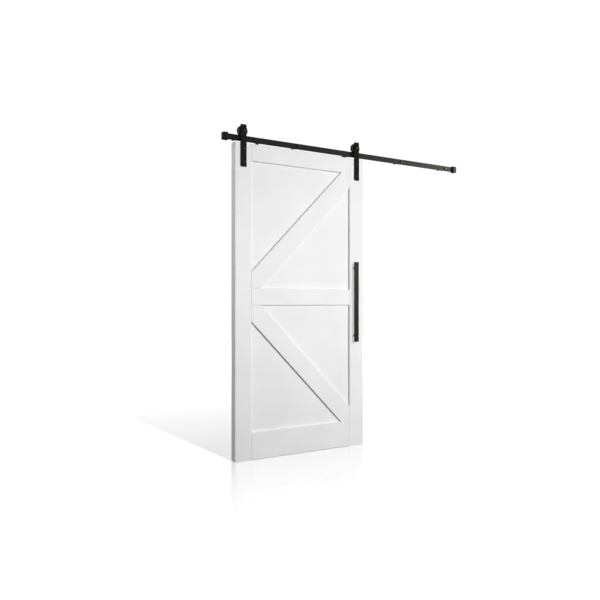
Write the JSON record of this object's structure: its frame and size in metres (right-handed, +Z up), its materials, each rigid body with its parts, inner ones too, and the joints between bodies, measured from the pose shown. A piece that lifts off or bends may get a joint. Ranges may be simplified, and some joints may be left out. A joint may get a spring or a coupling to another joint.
{
  "type": "sliding barn door",
  "caption": "Sliding barn door with diagonal braces in a panelled leaf, hung by strap hangers and grooved wheels from a flat wall track, with a long pull handle.",
  "frame": {"origin": "on the face of the wall, on the axis of the middle lag bolt", "axes": "+X along the track to the right as seen from the room, +Y into the wall, +Z up; the face of the leaf looks along -Y"},
  "size_m": [2.134, 0.145, 2.256],
  "materials": {
    "white_paint": "satin white paint on smooth MDF",
    "black_steel": "matt black powder coat on steel",
    "nylon": "turned black nylon",
    "bearing_steel": "bright ground bearing steel",
    "rubber": "black moulded rubber",
    "beech": "plain beech dowel"
  },
  "bodies": {
    "track": {"track_bar": "black_steel", "track_spacers": "black_steel", "lag_bolts": "black_steel", "lag_washers": "black_steel", "left_stop": "black_steel", "right_stop": "black_steel", "stop_pads": "rubber", "stop_screws": "black_steel"},
    "leaf": {"left_stile": "white_paint", "right_stile": "white_paint", "top_rail": "white_paint", "mid_rail": "white_paint", "bottom_rail": "white_paint", "upper_brace": "white_paint", "lower_brace": "white_paint", "upper_left_panel": "white_paint", "upper_right_panel": "white_paint", "lower_left_panel": "white_paint", "lower_right_panel": "white_paint", "frame_dowels": "beech", "left_strap": "black_steel", "right_strap": "black_steel", "strap_bolts": "black_steel", "strap_nuts": "black_steel", "axle_bolts": "black_steel", "front_bushes": "bearing_steel", "rear_bushes": "bearing_steel", "axle_nuts": "black_steel", "bearing_inner_rings": "bearing_steel", "anti_jump_discs": "black_steel", "disc_screws": "black_steel", "handle_bar": "black_steel", "handle_posts": "black_steel", "handle_bolts": "black_steel"},
    "wheel_left": {"left_wheel": "nylon", "left_bearing_ring": "bearing_steel", "left_bearing_balls": "bearing_steel", "left_bearing_shields": "bearing_steel"},
    "wheel_right": {"right_wheel": "nylon", "right_bearing_ring": "bearing_steel", "right_bearing_balls": "bearing_steel", "right_bearing_shields": "bearing_steel"}
  },
  "joints": [
    {"name": "door_slide", "type": "slide", "parent": "track", "child": "leaf", "axis": [1, 0, 0], "range_m": [-0.082, 0.975]},
    {"name": "left_wheel_spin", "type": "hinge", "parent": "leaf", "child": "wheel_left", "pos_m": [-0.9185, -0.051, 0.05], "axis": [0, 1, 0], "continuous": true},
    {"name": "right_wheel_spin", "type": "hinge", "parent": "leaf", "child": "wheel_right", "pos_m": [0.0255, -0.051, 0.05], "axis": [0, 1, 0], "continuous": true}
  ],
  "couplings": [
    {"joint": "left_wheel_spin", "follows": "door_slide", "rad_per_m": 33.333},
    {"joint": "right_wheel_spin", "follows": "door_slide", "rad_per_m": 33.333}
  ]
}
